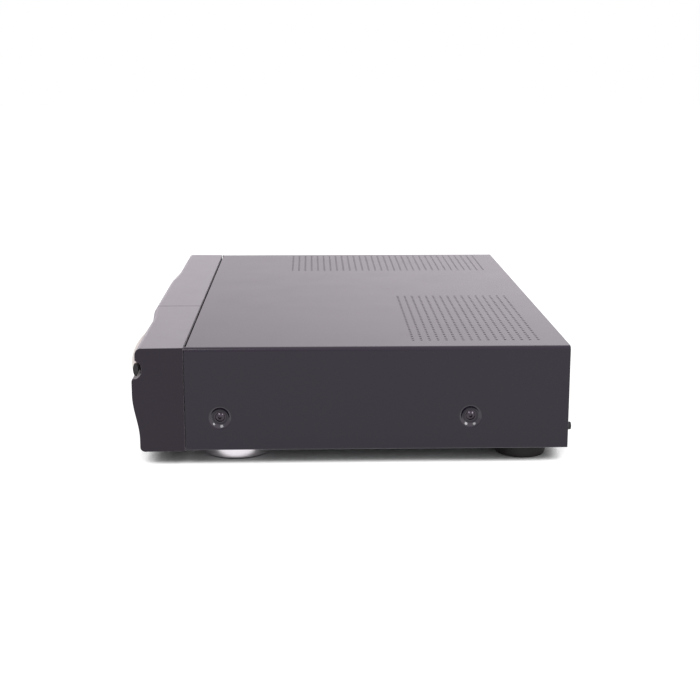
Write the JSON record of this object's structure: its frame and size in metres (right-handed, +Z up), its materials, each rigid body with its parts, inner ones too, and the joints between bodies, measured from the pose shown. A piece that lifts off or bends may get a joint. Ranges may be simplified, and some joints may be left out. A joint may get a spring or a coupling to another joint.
{
  "type": "dual cd recorder",
  "caption": "Wide, low hi-fi disc recorder with two motor-driven disc trays side by side, a display between them and a vented metal cover.",
  "frame": {"origin": "middle of the part's box in plan, on the surface that the feet stand on", "axes": "+Z up, -Y out of the front with the trays and buttons, +X to the right seen from the front"},
  "size_m": [0.438, 0.3356, 0.088],
  "materials": {
    "cover_steel": "satin black paint on sheet steel",
    "zinc_steel": "zinc-plated sheet steel",
    "fascia_plastic": "satin black moulded plastic",
    "champagne": "light metallic paint on plastic",
    "silver_paint": "silver metallic paint",
    "smoked_window": "clear smoked plastic",
    "display_glass": "dark display tube",
    "board_green": "green circuit board",
    "board_brown": "paper circuit board",
    "black_plastic": "black moulded plastic",
    "grey_plastic": "dark grey moulded plastic",
    "white_plastic": "natural white moulded plastic",
    "bright_steel": "bright steel",
    "diecast": "die-cast metal",
    "rubber": "dark moulded rubber",
    "iron_core": "iron core with wound coil",
    "black_aluminium": "black anodised aluminium"
  },
  "bodies": {
    "case": {"top_cover": "cover_steel", "bottom_chassis": "zinc_steel", "rear_panel": "cover_steel", "front_fascia": "fascia_plastic", "fascia_right": "fascia_plastic", "centre_trim": "champagne", "display_window": "smoked_window", "display_tube": "display_glass", "control_board": "board_brown", "main_board": "board_green", "power_board": "board_brown", "transformer": "iron_core", "heat_sink": "black_aluminium", "analog_sockets": "black_plastic", "digital_sockets": "grey_plastic", "mains_inlet": "black_plastic", "phones_jack": "black_plastic", "foot_front_right": "silver_paint", "foot_front_left": "silver_paint", "foot_rear_right": "rubber", "foot_rear_left": "rubber", "cover_screw_right_front": "cover_steel", "cover_screw_right_rear": "cover_steel", "cover_screw_left_front": "cover_steel", "cover_screw_left_rear": "cover_steel", "loader_frame_left": "black_plastic", "loading_motor_left": "bright_steel", "clamp_bridge_left": "zinc_steel", "loader_frame_right": "black_plastic", "loading_motor_right": "bright_steel", "clamp_bridge_right": "zinc_steel"},
    "power_button": {"power_button": "silver_paint"},
    "open_button_left": {"open_button_left": "silver_paint"},
    "play_button_left": {"play_button_left": "silver_paint"},
    "stop_button_left": {"stop_button_left": "silver_paint"},
    "open_button_right": {"open_button_right": "silver_paint"},
    "play_button_right": {"play_button_right": "silver_paint"},
    "stop_button_right": {"stop_button_right": "silver_paint"},
    "record_button": {"record_button": "silver_paint"},
    "jog_knob": {"jog_knob": "silver_paint"},
    "tray_left": {"disc_tray_left": "grey_plastic", "tray_door_left": "champagne"},
    "base_left": {"base_unit_left": "diecast", "spindle_motor_left": "bright_steel"},
    "turntable_left": {"turntable_left": "white_plastic"},
    "sled_left": {"optical_sled_left": "black_plastic"},
    "lead_screw_left": {"lead_screw_left": "bright_steel"},
    "drive_gear_left": {"drive_gear_left": "white_plastic"},
    "cam_slider_left": {"cam_slider_left": "white_plastic"},
    "clamp_puck_left": {"clamp_puck_left": "black_plastic"},
    "tray_right": {"disc_tray_right": "grey_plastic", "tray_door_right": "champagne"},
    "base_right": {"base_unit_right": "diecast", "spindle_motor_right": "bright_steel"},
    "turntable_right": {"turntable_right": "white_plastic"},
    "sled_right": {"optical_sled_right": "black_plastic"},
    "lead_screw_right": {"lead_screw_right": "bright_steel"},
    "drive_gear_right": {"drive_gear_right": "white_plastic"},
    "cam_slider_right": {"cam_slider_right": "white_plastic"},
    "clamp_puck_right": {"clamp_puck_right": "black_plastic"}
  },
  "joints": [
    {"name": "power_button_press", "type": "slide", "parent": "case", "child": "power_button", "axis": [0, 1, 0], "range_m": [0, 0.001], "stiffness_N_per_m": 150},
    {"name": "open_button_left_press", "type": "slide", "parent": "case", "child": "open_button_left", "axis": [0, 1, 0], "range_m": [0, 0.001], "stiffness_N_per_m": 150},
    {"name": "play_button_left_press", "type": "slide", "parent": "case", "child": "play_button_left", "axis": [0, 1, 0], "range_m": [0, 0.001], "stiffness_N_per_m": 150},
    {"name": "stop_button_left_press", "type": "slide", "parent": "case", "child": "stop_button_left", "axis": [0, 1, 0], "range_m": [0, 0.001], "stiffness_N_per_m": 150},
    {"name": "open_button_right_press", "type": "slide", "parent": "case", "child": "open_button_right", "axis": [0, 1, 0], "range_m": [0, 0.001], "stiffness_N_per_m": 150},
    {"name": "play_button_right_press", "type": "slide", "parent": "case", "child": "play_button_right", "axis": [0, 1, 0], "range_m": [0, 0.001], "stiffness_N_per_m": 150},
    {"name": "stop_button_right_press", "type": "slide", "parent": "case", "child": "stop_button_right", "axis": [0, 1, 0], "range_m": [0, 0.001], "stiffness_N_per_m": 150},
    {"name": "record_button_press", "type": "slide", "parent": "case", "child": "record_button", "axis": [0, 1, 0], "range_m": [0, 0.001], "stiffness_N_per_m": 150},
    {"name": "jog_knob_turn", "type": "hinge", "parent": "case", "child": "jog_knob", "pos_m": [0.172, -0.16175, 0.0408], "axis": [0, -1, 0], "continuous": true},
    {"name": "tray_slide_left", "type": "slide", "parent": "case", "child": "tray_left", "axis": [0, -1, 0], "range_m": [0, 0.135]},
    {"name": "drive_gear_turn_left", "type": "hinge", "parent": "case", "child": "drive_gear_left", "pos_m": [-0.183, -0.13175, 0.068], "axis": [0, 0, 1], "range_deg": [0, 650]},
    {"name": "base_tilt_left", "type": "hinge", "parent": "case", "child": "base_left", "pos_m": [-0.141, 0.02625, 0.0575], "axis": [1, 0, 0], "range_deg": [0, 5]},
    {"name": "cam_slide_left", "type": "slide", "parent": "case", "child": "cam_slider_left", "axis": [1, 0, 0], "range_m": [0, 0.0182]},
    {"name": "turntable_spin_left", "type": "hinge", "parent": "base_left", "child": "turntable_left", "pos_m": [-0.141, -0.08475, 0.07], "axis": [0, 0, 1], "continuous": true},
    {"name": "puck_spin_left", "type": "hinge", "parent": "case", "child": "clamp_puck_left", "pos_m": [-0.141, -0.08475, 0.078], "axis": [0, 0, 1], "continuous": true},
    {"name": "sled_slide_left", "type": "slide", "parent": "base_left", "child": "sled_left", "axis": [0, 1, 0], "range_m": [0, 0.034]},
    {"name": "lead_screw_turn_left", "type": "hinge", "parent": "base_left", "child": "lead_screw_left", "pos_m": [-0.1135, -0.04375, 0.062], "axis": [0, 1, 0], "range_deg": [0, 4085]},
    {"name": "tray_slide_right", "type": "slide", "parent": "case", "child": "tray_right", "axis": [0, -1, 0], "range_m": [0, 0.135]},
    {"name": "drive_gear_turn_right", "type": "hinge", "parent": "case", "child": "drive_gear_right", "pos_m": [0.099, -0.13175, 0.068], "axis": [0, 0, 1], "range_deg": [0, 650]},
    {"name": "base_tilt_right", "type": "hinge", "parent": "case", "child": "base_right", "pos_m": [0.141, 0.02625, 0.0575], "axis": [1, 0, 0], "range_deg": [0, 5]},
    {"name": "cam_slide_right", "type": "slide", "parent": "case", "child": "cam_slider_right", "axis": [1, 0, 0], "range_m": [0, 0.0182]},
    {"name": "turntable_spin_right", "type": "hinge", "parent": "base_right", "child": "turntable_right", "pos_m": [0.141, -0.08475, 0.07], "axis": [0, 0, 1], "continuous": true},
    {"name": "puck_spin_right", "type": "hinge", "parent": "case", "child": "clamp_puck_right", "pos_m": [0.141, -0.08475, 0.078], "axis": [0, 0, 1], "continuous": true},
    {"name": "sled_slide_right", "type": "slide", "parent": "base_right", "child": "sled_right", "axis": [0, 1, 0], "range_m": [0, 0.034]},
    {"name": "lead_screw_turn_right", "type": "hinge", "parent": "base_right", "child": "lead_screw_right", "pos_m": [0.1685, -0.04375, 0.062], "axis": [0, 1, 0], "range_deg": [0, 4085]}
  ],
  "couplings": [
    {"joint": "drive_gear_turn_left", "follows": "tray_slide_left", "rad_per_m": 83.333},
    {"joint": "cam_slide_left", "follows": "base_tilt_left", "m_per_rad": 0.20627},
    {"joint": "puck_spin_left", "follows": "turntable_spin_left", "ratio": 1},
    {"joint": "lead_screw_turn_left", "follows": "sled_slide_left", "rad_per_m": 2094.4},
    {"joint": "drive_gear_turn_right", "follows": "tray_slide_right", "rad_per_m": 83.333},
    {"joint": "cam_slide_right", "follows": "base_tilt_right", "m_per_rad": 0.20627},
    {"joint": "puck_spin_right", "follows": "turntable_spin_right", "ratio": 1},
    {"joint": "lead_screw_turn_right", "follows": "sled_slide_right", "rad_per_m": 2094.4}
  ]
}
